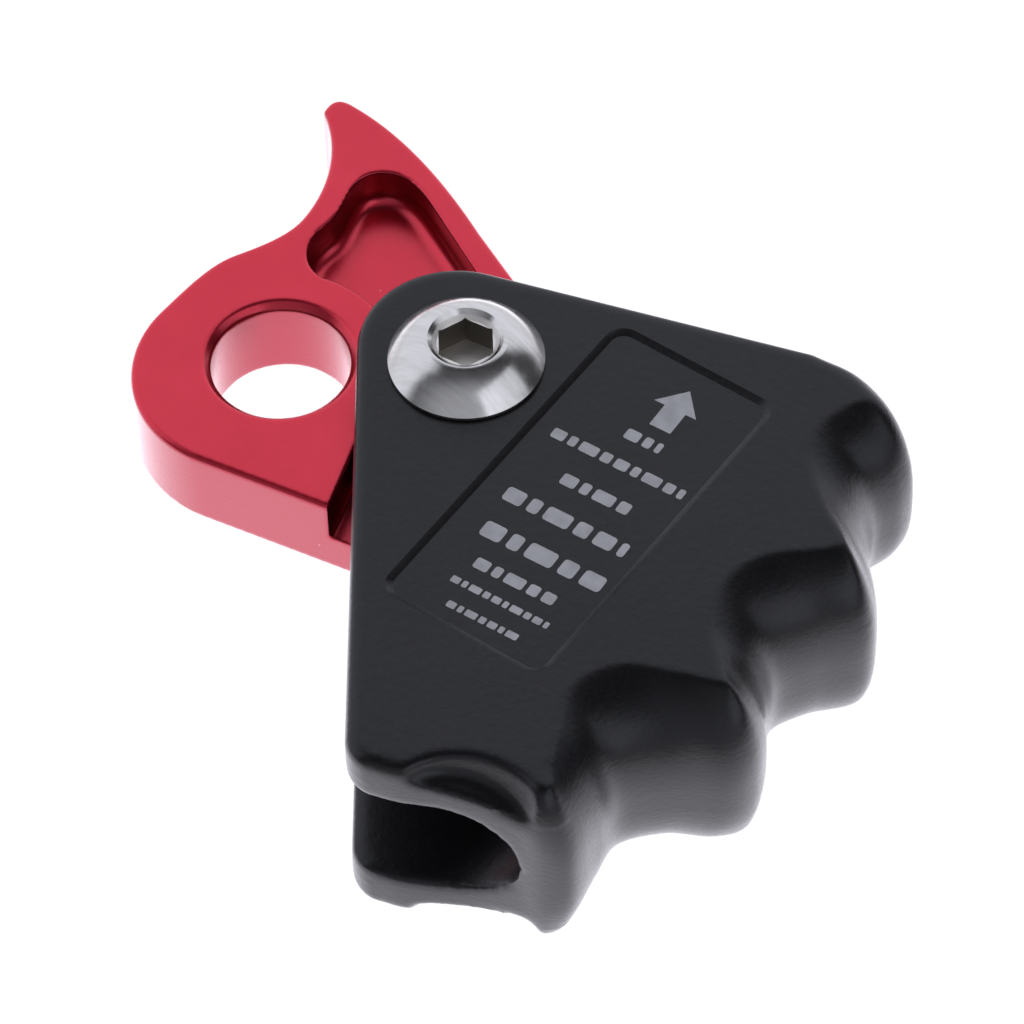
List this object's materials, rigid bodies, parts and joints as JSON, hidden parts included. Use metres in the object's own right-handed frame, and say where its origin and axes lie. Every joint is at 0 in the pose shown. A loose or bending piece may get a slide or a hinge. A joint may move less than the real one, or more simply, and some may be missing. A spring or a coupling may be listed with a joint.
{
  "type": "ascender",
  "caption": "Hand-held rope grab: a black channel body with a finger grip and a red cam lever with a carabiner eye, turning on a button-head bolt.",
  "frame": {"origin": "middle of the object's footprint, on the surface that the back plate lies on", "axes": "+Z out of the front plate, along the pivot bolt; +Y up the rope; +X from the carabiner eye towards the finger grip"},
  "size_m": [0.0946, 0.0802, 0.0301],
  "materials": {
    "black_powder_coat": "satin black powder coat on aluminium",
    "red_anodised": "satin red anodised",
    "stainless": "polished stainless steel",
    "bronze": "plain turned bearing bronze",
    "nylon": "natural nylon",
    "spring_steel": "drawn spring wire",
    "light_print": "pale grey pad print"
  },
  "bodies": {
    "frame": {"body": "black_powder_coat", "pivot_bolt": "stainless", "pivot_sleeve": "bronze", "front_thrust_washer": "nylon", "rear_thrust_washer": "nylon", "torsion_spring": "spring_steel", "lock_nut": "stainless"},
    "lever": {"cam_lever": "red_anodised"}
  },
  "joints": [
    {"name": "cam_pivot", "type": "hinge", "parent": "frame", "child": "lever", "pos_m": [-0.00729, 0.01079, 0.013], "axis": [0, 0, 1], "range_deg": [-50, 0], "stiffness_Nm_per_rad": 0.12, "springref_deg": 20.05}
  ]
}
